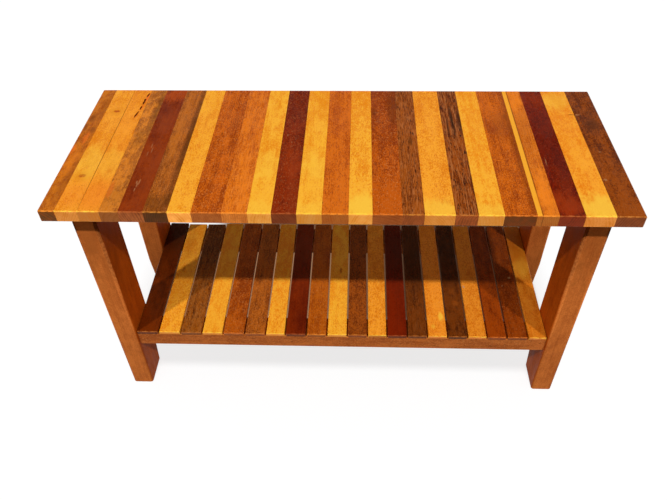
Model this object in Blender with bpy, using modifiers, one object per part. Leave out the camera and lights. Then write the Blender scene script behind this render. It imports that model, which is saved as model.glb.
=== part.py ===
"""Two tier bench made of mixed timber strips.

The seat is a panel of boards that run from front to back, glued edge to edge and screwed from below
to two long rails. Four tapered legs are joined by tenoned rails under the seat and under the shelf.
The shelf is a row of spaced slats, glued on its two rails.

All sizes are metres. X runs along the bench to the right, Y from the front to the back and Z up.
The origin is on the floor, under the middle of the seat.
"""

import math

import bmesh
import bpy
from mathutils import Vector

# Seat panel
SEAT_HEIGHT = 0.460
SEAT_LENGTH = 0.874
SEAT_DEPTH = 0.340
SEAT_THICKNESS = 0.020
SEAT_ARRIS = 0.0025
GLUE_LINE = 0.0003
BOARD_WIDTH_SHARES = (
    0.69, 0.94, 0.86, 0.76, 1.00, 0.97, 0.95, 1.21, 1.03, 0.95, 1.00, 1.00,
    1.06, 0.94, 1.18, 0.86, 1.20, 0.89, 1.01, 1.26, 0.85, 1.01, 1.18, 1.16,
)

# Legs
LEG_WIDTH = 0.037
LEG_DEPTH = 0.076
FOOT_DEPTH = 0.060
LEG_ARRIS = 0.0045
FOOT_ARRIS = 0.0012
SEAT_END_OVERHANG = 0.032
SEAT_FACE_OVERHANG = 0.021

# Long rails, of one depth under the seat and under the shelf
LONG_RAIL_DEPTH = 0.043
SEAT_RAIL_HEIGHT = 0.023
SHELF_RAIL_HEIGHT = 0.030
LONG_RAIL_SETBACK = 0.0055
LONG_RAIL_SHOULDER = 0.006
LONG_RAIL_TENON = 0.022

# End rails, on edge between the front and the back leg under the seat
END_RAIL_THICKNESS = 0.019
END_RAIL_HEIGHT = 0.060
END_RAIL_SHOULDER = 0.005
END_RAIL_TENON = 0.020
RAIL_ARRIS = 0.0010

# Shelf
SHELF_HEIGHT = 0.152
SLAT_THICKNESS = 0.0065
SLAT_GAP = 0.0025
SLAT_END_GAP = 0.0008
SLAT_FRONT_SETBACK = 0.0045
SLAT_BACK_OVERHANG = 0.0015
SLAT_ARRIS = 0.0014
SLAT_WIDTH_SHARES = (
    1.11, 1.09, 1.07, 1.04, 1.08, 1.03, 0.96, 1.03, 1.01, 1.00,
    0.98, 0.95, 0.99, 0.97, 0.97, 0.96, 0.93, 0.95, 1.01, 0.91,
)
SHORT_SLATS = (1, 2)
SHORT_SLAT_TRIM = 0.003

# Countersunk screws that hold the seat on its long rails
SCREW_RADIUS = 0.0021
SCREW_HEAD_RADIUS = 0.0042
SCREW_HEAD_DEPTH = 0.0027
SCREW_POINT = 0.0040
SCREW_LENGTH = 0.036
SCREW_SIDES = 16
SCREWED_BOARDS = (3, 12, 21)

# Sides of the bench: the name and the sign of its Y or X
ROWS = (("front", -1), ("back", 1))
ENDS = (("left", -1), ("right", 1))

# Fits
FIT_GAP = 0.0003
SOCKET_SPARE = 0.0010
CUT_OVERRUN = 0.0020

# Steps of the rounded edges
SEAT_ARRIS_STEPS = 4
SLAT_ARRIS_STEPS = 3
LEG_ARRIS_STEPS = 5

# Timbers: display colour and roughness
TIMBERS = {
    "honey": ((0.90, 0.58, 0.19), 0.30),
    "amber": ((0.78, 0.43, 0.13), 0.32),
    "russet": ((0.64, 0.31, 0.07), 0.32),
    "oxblood": ((0.43, 0.12, 0.04), 0.28),
    "umber": ((0.42, 0.20, 0.08), 0.34),
    "olive": ((0.56, 0.33, 0.13), 0.34),
    "chestnut": ((0.58, 0.31, 0.14), 0.36),
}
STEEL = ((0.60, 0.60, 0.58), 0.35)
BOARD_TIMBERS = (
    "amber", "honey", "honey", "olive", "oxblood", "olive", "honey", "russet", "amber", "honey",
    "oxblood", "honey", "amber", "honey", "russet", "olive", "honey", "umber", "honey", "russet",
    "amber", "oxblood", "honey", "umber",
)
SLAT_TIMBERS = (
    "umber", "honey", "umber", "honey", "russet", "olive", "honey", "oxblood", "amber", "honey",
    "olive", "honey", "oxblood", "umber", "honey", "umber", "honey", "russet", "russet", "honey",
)

# Places that follow from the sizes above
SEAT_UNDERSIDE = SEAT_HEIGHT - SEAT_THICKNESS
LEG_TOP = SEAT_UNDERSIDE - FIT_GAP
LEG_OUTER_X = SEAT_LENGTH / 2 - SEAT_END_OVERHANG
LEG_INNER_X = LEG_OUTER_X - LEG_WIDTH
LEG_OUTER_Y = SEAT_DEPTH / 2 - SEAT_FACE_OVERHANG
LEG_INNER_Y = LEG_OUTER_Y - LEG_DEPTH
RAIL_OUTER_Y = LEG_OUTER_Y - LONG_RAIL_SETBACK
RAIL_MIDDLE_Y = RAIL_OUTER_Y - LONG_RAIL_DEPTH / 2
SLAT_UNDERSIDE = SHELF_HEIGHT - SLAT_THICKNESS
SHELF_RAIL_TOP = SLAT_UNDERSIDE - FIT_GAP
SHELF_RAIL_FOOT = SHELF_RAIL_TOP - SHELF_RAIL_HEIGHT
SLAT_FRONT_Y = SLAT_FRONT_SETBACK - LEG_OUTER_Y
SLAT_BACK_Y = LEG_OUTER_Y + SLAT_BACK_OVERHANG


def clear_scene():
    """Remove the objects that a new file starts with."""
    for item in list(bpy.data.objects):
        bpy.data.objects.remove(item, do_unlink=True)


def new_collection(name):
    """Link a new collection to the scene and return it."""
    collection = bpy.data.collections.new(name)
    bpy.context.scene.collection.children.link(collection)
    return collection


def to_linear(value):
    """Turn one display colour value into a linear one."""
    if value <= 0.04045:
        return value / 12.92
    return ((value + 0.055) / 1.055) ** 2.4


def finish(piece, look, metallic=0.0):
    """Give a piece its own material from a display colour and a roughness."""
    colour, roughness = look
    material = bpy.data.materials.new(piece.name + "_finish")
    material.use_nodes = True
    shader = material.node_tree.nodes["Principled BSDF"]
    shader.inputs["Base Color"].default_value = [to_linear(value) for value in colour] + [1.0]
    shader.inputs["Roughness"].default_value = roughness
    shader.inputs["Metallic"].default_value = metallic
    piece.data.materials.append(material)


def place(name, mesh, collection, parent, location):
    """Make an object from a mesh and hang it on its parent."""
    piece = bpy.data.objects.new(name, mesh)
    collection.objects.link(piece)
    piece.parent = parent
    piece.location = location
    return piece


def empty(name, collection, parent=None):
    """Make an empty that groups the pieces of one assembly."""
    group = bpy.data.objects.new(name, None)
    collection.objects.link(group)
    group.parent = parent
    return group


def box_mesh(name, size):
    """Make a box round its own middle."""
    shape = bmesh.new()
    bmesh.ops.create_cube(shape, size=1.0)
    bmesh.ops.scale(shape, vec=Vector(size), verts=shape.verts)
    mesh = bpy.data.meshes.new(name)
    shape.to_mesh(mesh)
    shape.free()
    return mesh


def round_edges(piece, radius, steps, weight_of):
    """Round the edges for which weight_of(middle, direction) is above zero."""
    shape = bmesh.new()
    shape.from_mesh(piece.data)
    weights = shape.edges.layers.float.new("bevel_weight_edge")
    for edge in shape.edges:
        start, end = (vert.co for vert in edge.verts)
        edge[weights] = weight_of((start + end) / 2, (end - start).normalized())
    shape.to_mesh(piece.data)
    shape.free()
    bevel = piece.modifiers.new("arris", "BEVEL")
    bevel.limit_method = "WEIGHT"
    bevel.width = radius
    bevel.segments = steps
    smooth(piece.data)


def smooth(mesh):
    """Shade a mesh smooth but for its sharp edges."""
    mesh.shade_smooth()
    mesh.set_sharp_from_angle(angle=math.radians(40))


def hide_cutter(cutter):
    """Show a cutting shape as wire and keep it out of the picture."""
    cutter.hide_render = True
    cutter.display_type = "WIRE"


def cut(piece, cutter):
    """Take a cutting shape out of a piece."""
    boolean = piece.modifiers.new(cutter.name, "BOOLEAN")
    boolean.operation = "DIFFERENCE"
    boolean.solver = "EXACT"
    boolean.object = cutter


def share_out(total, gap, shares):
    """Return the middle and width of strips that fill a length with gaps between them."""
    free = total - gap * (len(shares) - 1)
    unit = free / sum(shares)
    start = -total / 2
    strips = []
    for share in shares:
        width = share * unit
        strips.append((start + width / 2, width))
        start += width + gap
    return strips


def seat_boards():
    """Return the middle and width of each seat board."""
    return share_out(SEAT_LENGTH, GLUE_LINE, BOARD_WIDTH_SHARES)


def shelf_slats():
    """Return the middle and width of each shelf slat."""
    return share_out(2 * (LEG_INNER_X - SLAT_END_GAP), SLAT_GAP, SLAT_WIDTH_SHARES)


def board_edge_weight(outward):
    """Round a board's ends, and its free side where it is the first or the last board."""
    def weight(middle, direction):
        along_x = abs(direction.x) > 0.9
        on_free_side = middle.x * outward > 0 and not along_x
        return 1.0 if along_x or on_free_side else 0.0
    return weight


def build_seat(collection, parent, holes):
    """Lay the boards of the seat side by side."""
    boards = seat_boards()
    seat_middle = SEAT_HEIGHT - SEAT_THICKNESS / 2
    for index, (middle, width) in enumerate(boards):
        name = f"seat_board_{index + 1:02d}"
        mesh = box_mesh(name, (width, SEAT_DEPTH, SEAT_THICKNESS))
        board = place(name, mesh, collection, parent, (middle, 0, seat_middle))
        outward = {0: -1, len(boards) - 1: 1}.get(index, 0)
        round_edges(board, SEAT_ARRIS, SEAT_ARRIS_STEPS, board_edge_weight(outward))
        finish(board, TIMBERS[BOARD_TIMBERS[index]])
        for hole in holes.get(index, []):
            cut(board, hole)


def leg_outline():
    """Return the leg's side outline as inward depth and height, tapered below the shelf rail."""
    return [
        (0, 0),
        (FOOT_DEPTH, 0),
        (LEG_DEPTH, SHELF_RAIL_FOOT),
        (LEG_DEPTH, LEG_TOP),
        (0, LEG_TOP),
    ]


def outline_piece(name, points, thickness, collection):
    """Make a flat piece from an outline, as a mesh object."""
    curve = bpy.data.curves.new(name + "_outline", "CURVE")
    curve.dimensions = "2D"
    curve.fill_mode = "BOTH"
    curve.extrude = thickness / 2
    spline = curve.splines.new("POLY")
    spline.points.add(len(points) - 1)
    for point, (across, up) in zip(spline.points, points):
        point.co = (across, up, 0, 1)
    spline.use_cyclic_u = True
    outline = bpy.data.objects.new(name + "_outline", curve)
    collection.objects.link(outline)
    depsgraph = bpy.context.evaluated_depsgraph_get()
    mesh = bpy.data.meshes.new_from_object(outline.evaluated_get(depsgraph))
    mesh.name = name
    shape = bmesh.new()
    shape.from_mesh(mesh)
    bmesh.ops.remove_doubles(shape, verts=shape.verts, dist=FIT_GAP / 10)
    bmesh.ops.dissolve_limit(shape, angle_limit=math.radians(1), verts=shape.verts, edges=shape.edges)
    bmesh.ops.recalc_face_normals(shape, faces=shape.faces)
    shape.to_mesh(mesh)
    shape.free()
    piece = bpy.data.objects.new(name, mesh)
    piece.matrix_world = outline.matrix_world
    collection.objects.link(piece)
    bpy.data.objects.remove(outline, do_unlink=True)
    return piece


def leg_edge_weight(middle, direction):
    """Round the four long arrises of a leg fully and its foot lightly."""
    if abs(direction.y) > 0.9:
        return 1.0
    if middle.y < FOOT_ARRIS:
        return FOOT_ARRIS / LEG_ARRIS
    return 0.0


def socket(name, size, location, collection, parent):
    """Make the cutting shape of a mortise."""
    cutter = place(name, box_mesh(name, size), collection, parent, location)
    hide_cutter(cutter)
    return cutter


def long_rail_socket(name, side_x, side_y, top_z, height, collection, parent):
    """Make the mortise of a long rail in the inner face of a leg."""
    depth = LONG_RAIL_TENON + SOCKET_SPARE
    length = depth + CUT_OVERRUN
    size = (
        length,
        LONG_RAIL_DEPTH - 2 * LONG_RAIL_SHOULDER + 2 * FIT_GAP,
        height - 2 * LONG_RAIL_SHOULDER + 2 * FIT_GAP,
    )
    middle_x = LEG_INNER_X + depth - length / 2
    middle_z = top_z - height / 2
    return socket(name, size, (side_x * middle_x, side_y * RAIL_MIDDLE_Y, middle_z), collection, parent)


def end_rail_socket(name, side_x, side_y, middle_z, collection, parent):
    """Make the mortise of an end rail in the leg's face that looks at the other leg."""
    depth = END_RAIL_TENON + SOCKET_SPARE
    length = depth + CUT_OVERRUN
    size = (
        END_RAIL_THICKNESS - 2 * END_RAIL_SHOULDER + 2 * FIT_GAP,
        length,
        END_RAIL_HEIGHT - 2 * END_RAIL_SHOULDER + 2 * FIT_GAP,
    )
    middle_x = LEG_INNER_X + LEG_WIDTH / 2
    middle_y = LEG_INNER_Y + depth - length / 2
    return socket(name, size, (side_x * middle_x, side_y * middle_y, middle_z), collection, parent)


def build_leg(name, side_x, side_y, collection, cutters, parent):
    """Make one leg with its taper, its rounded arrises and its three mortises."""
    leg = outline_piece(name, leg_outline(), LEG_WIDTH, collection)
    leg.parent = parent
    leg.location = (side_x * (LEG_INNER_X + LEG_WIDTH / 2), side_y * LEG_OUTER_Y, 0)
    leg.rotation_euler = (math.pi / 2, 0, -side_y * math.pi / 2)
    round_edges(leg, LEG_ARRIS, LEG_ARRIS_STEPS, leg_edge_weight)
    finish(leg, TIMBERS["chestnut"])
    long_rails = (("shelf", SHELF_RAIL_TOP, SHELF_RAIL_HEIGHT), ("seat", LEG_TOP, SEAT_RAIL_HEIGHT))
    for tier, top_z, height in long_rails:
        cut(leg, long_rail_socket(f"{name}_{tier}_mortise", side_x, side_y, top_z, height, cutters, parent))
    end_rail_z = LEG_TOP - END_RAIL_HEIGHT / 2
    cut(leg, end_rail_socket(name + "_end_mortise", side_x, side_y, end_rail_z, cutters, parent))


def tenoned_mesh(name, size, shoulder, tenon):
    """Make a rail along X, with a tenon on each end that is set in by the shoulder all round."""
    shape = bmesh.new()
    bmesh.ops.create_cube(shape, size=1.0)
    bmesh.ops.scale(shape, vec=Vector(size), verts=shape.verts)
    shape.normal_update()
    ends = [face for face in shape.faces if abs(face.normal.x) > 0.9]
    for end in ends:
        bmesh.ops.inset_region(shape, faces=[end], thickness=shoulder, use_even_offset=True)
        outward = Vector((math.copysign(tenon, end.normal.x), 0, 0))
        grown = bmesh.ops.extrude_discrete_faces(shape, faces=[end])
        bmesh.ops.translate(shape, vec=outward, verts=grown["faces"][0].verts)
    mesh = bpy.data.meshes.new(name)
    shape.to_mesh(mesh)
    shape.free()
    return mesh


def long_edge_weight(half_depth):
    """Round the long edges of a rail's body, and none of its tenons."""
    def weight(middle, direction):
        on_body = abs(middle.y) > half_depth - FIT_GAP
        return 1.0 if abs(direction.x) > 0.9 and on_body else 0.0
    return weight


def build_long_rail(name, side_y, top_z, height, collection, parent):
    """Make a rail that joins the left and the right leg."""
    length = 2 * (LEG_INNER_X - FIT_GAP)
    size = (length, LONG_RAIL_DEPTH, height)
    mesh = tenoned_mesh(name, size, LONG_RAIL_SHOULDER, LONG_RAIL_TENON)
    location = (0, side_y * RAIL_MIDDLE_Y, top_z - height / 2)
    rail = place(name, mesh, collection, parent, location)
    round_edges(rail, RAIL_ARRIS, 1, long_edge_weight(LONG_RAIL_DEPTH / 2))
    finish(rail, TIMBERS["chestnut"])
    return rail


def build_end_rail(name, side_x, collection, parent):
    """Make a rail that joins the front and the back leg under the seat."""
    length = 2 * (LEG_INNER_Y - FIT_GAP)
    size = (length, END_RAIL_THICKNESS, END_RAIL_HEIGHT)
    mesh = tenoned_mesh(name, size, END_RAIL_SHOULDER, END_RAIL_TENON)
    location = (side_x * (LEG_INNER_X + LEG_WIDTH / 2), 0, LEG_TOP - END_RAIL_HEIGHT / 2)
    rail = place(name, mesh, collection, parent, location)
    rail.rotation_euler = (0, 0, math.pi / 2)
    round_edges(rail, RAIL_ARRIS, 1, long_edge_weight(END_RAIL_THICKNESS / 2))
    finish(rail, TIMBERS["chestnut"])


def slat_edge_weight(middle, direction):
    """Round every edge of a slat but the long ones underneath."""
    underneath = middle.z < 0
    return 0.0 if underneath and abs(direction.z) < 0.9 else 1.0


def build_shelf(collection, parent):
    """Lay the shelf slats across the two shelf rails."""
    for index, (middle, width) in enumerate(shelf_slats()):
        name = f"shelf_slat_{index + 1:02d}"
        back_y = SLAT_BACK_Y - (SHORT_SLAT_TRIM if index in SHORT_SLATS else 0)
        mesh = box_mesh(name, (width, back_y - SLAT_FRONT_Y, SLAT_THICKNESS))
        location = (middle, (SLAT_FRONT_Y + back_y) / 2, SHELF_HEIGHT - SLAT_THICKNESS / 2)
        slat = place(name, mesh, collection, parent, location)
        round_edges(slat, SLAT_ARRIS, SLAT_ARRIS_STEPS, slat_edge_weight)
        finish(slat, TIMBERS[SLAT_TIMBERS[index]])


def screw_profile(clearance, overrun):
    """Return a screw's half outline as radius and height above the underside of its rail."""
    radius = SCREW_RADIUS + clearance
    head = SCREW_HEAD_RADIUS + clearance
    return [
        (0, -overrun),
        (head, -overrun),
        (head, FIT_GAP),
        (radius, FIT_GAP + SCREW_HEAD_DEPTH),
        (radius, SCREW_LENGTH + clearance - SCREW_POINT),
        (0, SCREW_LENGTH + clearance),
    ]


def turned_mesh(name, profile):
    """Turn a half outline about the Z axis."""
    shape = bmesh.new()
    rim = [shape.verts.new((radius, 0, height)) for radius, height in profile]
    edges = [shape.edges.new(pair) for pair in zip(rim, rim[1:])]
    bmesh.ops.spin(
        shape,
        geom=rim + edges,
        cent=(0, 0, 0),
        axis=(0, 0, 1),
        angle=2 * math.pi,
        steps=SCREW_SIDES,
    )
    bmesh.ops.remove_doubles(shape, verts=shape.verts, dist=FIT_GAP / 10)
    bmesh.ops.recalc_face_normals(shape, faces=shape.faces)
    mesh = bpy.data.meshes.new(name)
    shape.to_mesh(mesh)
    shape.free()
    smooth(mesh)
    return mesh


def build_screws(collection, cutters, parent):
    """Make the screws of the seat and return the shapes of their holes, by board, front one first."""
    boards = seat_boards()
    foot_z = LEG_TOP - SEAT_RAIL_HEIGHT
    screw_mesh = turned_mesh("seat_screw", screw_profile(0, -FIT_GAP))
    hole_mesh = turned_mesh("seat_screw_hole", screw_profile(FIT_GAP, CUT_OVERRUN))
    holes = {index: [] for index in SCREWED_BOARDS}
    for row, side_y in ROWS:
        for number, index in enumerate(SCREWED_BOARDS, start=1):
            name = f"seat_screw_{row}_{number}"
            location = (boards[index][0], side_y * RAIL_MIDDLE_Y, foot_z)
            screw = place(name, screw_mesh, collection, parent, location)
            if not screw_mesh.materials:
                finish(screw, STEEL, metallic=1.0)
            hole = place(name + "_hole", hole_mesh, cutters, parent, location)
            hide_cutter(hole)
            holes[index].append(hole)
    return holes


def main():
    """Build the whole bench."""
    clear_scene()
    parts = new_collection("bench")
    cutters = new_collection("bench_cutters")
    bench = empty("bench_frame", parts)
    seat = empty("seat_group", parts, bench)
    shelf = empty("shelf_group", parts, bench)
    stand = empty("stand_group", parts, bench)

    holes = build_screws(parts, cutters, seat)
    build_seat(parts, seat, holes)
    build_shelf(parts, shelf)
    for place_in_row, (row, side_y) in enumerate(ROWS):
        for end, side_x in ENDS:
            build_leg(f"leg_{row}_{end}", side_x, side_y, parts, cutters, stand)
        build_long_rail(f"shelf_rail_{row}", side_y, SHELF_RAIL_TOP, SHELF_RAIL_HEIGHT, parts, stand)
        seat_rail = build_long_rail(f"seat_rail_{row}", side_y, LEG_TOP, SEAT_RAIL_HEIGHT, parts, stand)
        for index in SCREWED_BOARDS:
            cut(seat_rail, holes[index][place_in_row])
    for end, side_x in ENDS:
        build_end_rail(f"end_rail_{end}", side_x, parts, stand)


if __name__ == "__main__":
    main()
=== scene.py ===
"""Two tier shoe bench of mixed timber strips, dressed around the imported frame.

The seat boards, the shelf slats and the legs are rebuilt with fine rounded arrises and stand for
their CAD nodes. The rails and the screws keep their CAD nodes and get a finish of their own. Every
timber is a solid figure of rings, fibres, pores and clouds, so that faces and end grain agree.

Lengths are metres unless a name ends in _mm. X runs along the bench to the right, Y from the front
to the back and Z up. The shader sheets work in millimetres.
"""

import logging
import math
from collections.abc import Callable, Iterable, Mapping, Sequence
from dataclasses import astuple, dataclass, field, fields, replace
from enum import Enum

import bmesh
import bpy
from mathutils import Matrix, Vector


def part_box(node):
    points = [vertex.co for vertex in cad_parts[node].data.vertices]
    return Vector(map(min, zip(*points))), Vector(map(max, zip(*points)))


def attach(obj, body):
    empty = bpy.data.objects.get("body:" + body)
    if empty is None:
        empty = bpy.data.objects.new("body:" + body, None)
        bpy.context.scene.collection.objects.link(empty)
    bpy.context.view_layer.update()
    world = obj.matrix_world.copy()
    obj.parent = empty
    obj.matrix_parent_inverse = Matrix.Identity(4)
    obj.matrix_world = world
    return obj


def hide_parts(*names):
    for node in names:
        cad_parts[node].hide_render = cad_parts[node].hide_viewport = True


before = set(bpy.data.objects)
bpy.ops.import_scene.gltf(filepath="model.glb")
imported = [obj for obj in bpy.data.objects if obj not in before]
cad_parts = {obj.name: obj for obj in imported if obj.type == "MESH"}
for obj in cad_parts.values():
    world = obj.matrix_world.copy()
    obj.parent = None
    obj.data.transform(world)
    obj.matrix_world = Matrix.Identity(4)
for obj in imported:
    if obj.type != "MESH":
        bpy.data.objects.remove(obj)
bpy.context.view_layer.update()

LOG = logging.getLogger("shoe_bench")
ROOT = "root"
MM = 1000.0
NEAR = 1e-5
FLAT_FACE_WEIGHT = 80
BRIGHTEST = 0.98
WHITE = (1.0, 1.0, 1.0)
KNOT_RING_WIDER = 2.4
KNOT_RING_LONGER = 3.2

Span = tuple[float, float]
Triple = tuple[float, float, float]
Ramp = tuple[float, float, float, float]
Colour = Triple
Box = tuple[Vector, Vector]
Mesh = bpy.types.Mesh
Shape = bmesh.types.BMesh
Piece = bpy.types.Object
Material = bpy.types.Material
Socket = bpy.types.NodeSocket
Outputs = Mapping[str, Socket]
Feed = float | Sequence[float] | Socket
EdgeTest = Callable[[Vector, Vector], bool]
Line = tuple[Triple, ...]
Grain = tuple[Triple, float, float]


# Choices


class Timber(Enum):
    """The kinds of timber, named as the record's material slots are."""

    HONEY = "honey_timber"
    AMBER = "amber_timber"
    RUSSET = "russet_timber"
    OXBLOOD = "oxblood_timber"
    UMBER = "umber_timber"
    OLIVE = "olive_timber"
    CHESTNUT = "chestnut_timber"


class GrainRun(Enum):
    """The way the grain runs: the object axes that are read as across, along and up."""

    ALONG_Y = (0, 1, 2)
    ALONG_X = (1, 0, 2)
    ALONG_Z = (0, 2, 1)


class Cut(Enum):
    """The way a strip was sawn, which sets the figure on its face."""

    CALM = "calm"
    RIFT = "rift"
    FLAMED = "flamed"
    CLOUDED = "clouded"
    STREAKED = "streaked"
    FLECKED = "flecked"
    COARSE = "coarse"
    SMOOTH = "smooth"
    BRUSHED = "brushed"


class Edge(Enum):
    """The edge of a mark: the output of the figure that breaks it, and how strongly."""

    CLEAN = ("", 0.0)
    CLOUDY = ("cloud", 2.6)
    STRINGY = ("tone", 0.7)


class MarkKind(Enum):
    """Single marks that a strip can carry, each with its usual strength.

    Smoke is a dark patch with cloudy edges, Stain a near-black streak, Glow a lighter patch, Rust a
    patch of red-orange wood and Scratch a thin pale line in the varnish. Smokes and stains are dark
    wood on some strips and painted shade on others, and glows are paler wood on some strips and
    painted light on others, where the lamps fall more or less brightly; the looks say which.
    """

    KNOT = ("knot", 0.9)
    SMOKE = ("smoke", 0.7)
    STAIN = ("stain", 0.9)
    GLOW = ("glow", 0.5)
    RUST = ("rust", 0.6)
    SCRATCH = ("scratch", 0.4)
    SAPWOOD = ("sapwood", 0.9)
    GLUE = ("glue", 0.7)
    KNOT_RING = ("knot_ring", 0.55)

    def at(
        self, across: float, along: float, width: float, length: float,
        strength: float | None = None, lean: float = 0.0,
    ) -> "Mark":
        """Return such a mark, in millimetres from the strip's middle, with half its width and length."""
        shown = self.value[1] if strength is None else strength
        return Mark(self, across, along, width, length, shown, lean)


# Finishes


def scaled(colour: Colour, gains: float | Colour) -> Colour:
    """Return a colour times one gain or three, and no brighter than a paint can be."""
    each = (gains,) * 3 if isinstance(gains, (int, float)) else gains
    return tuple(min(part * gain, BRIGHTEST) for part, gain in zip(colour, each))


@dataclass(frozen=True)
class TimberFinish:
    """Linear colours of a varnished timber: its pale and dark wood, its pores and its end grain."""

    pale: Colour
    dark: Colour
    pore: Colour
    end: Colour
    cream: Colour = (0.80, 0.46, 0.16)
    cream_share: float = 0.28

    @property
    def strand(self) -> Colour:
        """Return the colour of the palest fibres."""
        share = self.cream_share
        return tuple((1.0 - share) * part + share * cream for part, cream in zip(self.pale, self.cream))


@dataclass(frozen=True)
class CutFigure:
    """How strongly each part of the figure shows on a sawn face, and its scale."""

    ring_gap_mm: float
    rings: float
    pith_across_mm: float
    pith_down_mm: float
    pith_lean: float
    fibres: float
    ribbons: float
    flecks: float
    clouds: float
    speckle: float
    strands: float
    fleck_size: float
    mottle: float
    sparks: float


@dataclass(frozen=True)
class Mark:
    """One mark on a strip, placed from the strip's middle in millimetres."""

    kind: MarkKind
    across_mm: float
    along_mm: float
    width_mm: float
    length_mm: float
    strength: float
    lean: float

    @property
    def layers(self) -> tuple["Mark", ...]:
        """Return the marks to lay for it: a knot's heart lies on a ring, and the others stand alone."""
        if self.kind is not MarkKind.KNOT:
            return (self,)
        width, length = self.width_mm * KNOT_RING_WIDER, self.length_mm * KNOT_RING_LONGER
        return MarkKind.KNOT_RING.at(self.across_mm, self.along_mm, width, length), self


@dataclass(frozen=True)
class MarkStyle:
    """How one kind of mark is laid.

    soft is the width of its edge as a share of the mark. Its colour is the timber's colour that base
    names, or white, times gains. off_end keeps it off the end grain.
    """

    edge: Edge
    soft: float
    base: str
    gains: float | Colour
    off_end: bool = False


@dataclass(frozen=True)
class StripLook:
    """The look of one strip: its timber, its cut and what sets it apart.

    shade scales its brightness, warmth moves it to red above zero and to yellow below, fade is
    painted shade: how much darker the back is drawn than the front, as the light falls off towards the
    back and the seat's shadow lies there, and lighter where it is below zero. end_shade scales the
    brightness of its end grain. pitted darkens what goes below its top face.
    """

    timber: Timber
    cut: Cut
    shade: float
    warmth: float
    fade: float
    end_shade: float = 1.0
    marks: tuple[Mark, ...] = ()
    pitted: bool = False


# Each row is the pale wood, the dark wood, the pores and the end grain.
TIMBERS: dict[Timber, TimberFinish] = {
    Timber.HONEY: TimberFinish(
        (0.97, 0.43, 0.028), (0.74, 0.24, 0.005), (0.58, 0.14, 0.003), (0.80, 0.36, 0.07)),
    Timber.AMBER: TimberFinish(
        (0.72, 0.19, 0.007), (0.44, 0.085, 0.002), (0.20, 0.034, 0.001), (0.52, 0.18, 0.028)),
    Timber.RUSSET: TimberFinish(
        (0.52, 0.105, 0.003), (0.24, 0.034, 0.001), (0.10, 0.014, 0.001), (0.38, 0.105, 0.02)),
    Timber.OXBLOOD: TimberFinish(
        (0.27, 0.033, 0.002), (0.13, 0.01, 0.001), (0.05, 0.004, 0.001), (0.25, 0.062, 0.015)),
    Timber.UMBER: TimberFinish(
        (0.34, 0.085, 0.005), (0.11, 0.02, 0.002), (0.03, 0.006, 0.001), (0.25, 0.068, 0.015)),
    Timber.OLIVE: TimberFinish(
        (0.42, 0.13, 0.009), (0.19, 0.048, 0.004), (0.06, 0.015, 0.002), (0.32, 0.1, 0.022)),
    Timber.CHESTNUT: TimberFinish(
        (0.74, 0.205, 0.038), (0.46, 0.105, 0.018), (0.22, 0.05, 0.01), (0.34, 0.11, 0.03)),
}

CUTS: dict[Cut, CutFigure] = {
    Cut.CALM: CutFigure(4.2, 0.10, 120, 40, 0.015, 0.60, 0.50, 0.80, 0.85, 1.0, 0.0, 1.0, 0.50, 0.40),
    Cut.RIFT: CutFigure(2.6, 0.30, 130, 50, 0.020, 1.10, 0.55, 0.80, 0.80, 0.9, 0.0, 1.0, 0.30, 0.60),
    Cut.FLAMED: CutFigure(5.2, 0.16, 20, 60, 0.060, 1.10, 0.60, 1.40, 0.90, 1.2, 0.0, 1.0, 0.60, 0.80),
    Cut.CLOUDED: CutFigure(5.0, 0.15, 70, 60, 0.030, 0.55, 0.40, 0.60, 0.90, 0.6, 0.2, 1.0, 1.30, 0.40),
    Cut.STREAKED: CutFigure(3.0, 0.30, 140, 20, 0.020, 1.50, 0.80, 0.90, 0.80, 1.0, 0.3, 1.6, 0.40, 0.70),
    Cut.FLECKED: CutFigure(3.6, 0.10, 100, 60, 0.030, 0.55, 0.45, 1.20, 1.00, 1.6, 0.0, 1.1, 0.65, 0.75),
    Cut.COARSE: CutFigure(3.0, 0.20, 130, 50, 0.020, 2.50, 1.20, 1.90, 1.10, 0.9, 0.8, 2.0, 0.50, 0.50),
    Cut.SMOOTH: CutFigure(4.2, 0.10, 120, 40, 0.015, 0.40, 0.40, 0.25, 0.60, 0.4, 0.0, 1.0, 0.25, 0.10),
    Cut.BRUSHED: CutFigure(3.4, 0.20, 130, 30, 0.020, 1.50, 0.60, 1.00, 1.00, 1.2, 0.1, 1.2, 0.35, 0.80),
}

MARK_STYLES: dict[MarkKind, MarkStyle] = {
    MarkKind.KNOT: MarkStyle(Edge.STRINGY, 0.3, "pore", (0.80, 0.45, 0.30)),
    MarkKind.KNOT_RING: MarkStyle(Edge.STRINGY, 0.6, "dark", 1.0),
    MarkKind.SMOKE: MarkStyle(Edge.CLOUDY, 0.7, "dark", 0.45),
    MarkKind.STAIN: MarkStyle(Edge.STRINGY, 0.5, "pore", 0.5),
    MarkKind.GLOW: MarkStyle(Edge.CLOUDY, 0.6, "pale", (1.45, 1.32, 1.8), off_end=True),
    MarkKind.RUST: MarkStyle(Edge.STRINGY, 0.6, "", (0.86, 0.13, 0.012)),
    MarkKind.SCRATCH: MarkStyle(Edge.STRINGY, 0.4, "", (0.56, 0.29, 0.12)),
    MarkKind.SAPWOOD: MarkStyle(Edge.CLEAN, 0.12, "", TIMBERS[Timber.HONEY].pale, off_end=True),
    MarkKind.GLUE: MarkStyle(Edge.CLEAN, 0.4, "pore", 0.5),
}

knot = MarkKind.KNOT.at
smoke = MarkKind.SMOKE.at
stain = MarkKind.STAIN.at
glow = MarkKind.GLOW.at
rust = MarkKind.RUST.at
scratch = MarkKind.SCRATCH.at
# Painted light: the front edge and the front middle of these boards are drawn paler, where the lamps fall
# most brightly.
PAINTED_FRONT_LIGHT = (glow(0, -162, 30, 16, 0.4), glow(0, -55, 20, 30, 0.35))

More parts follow.
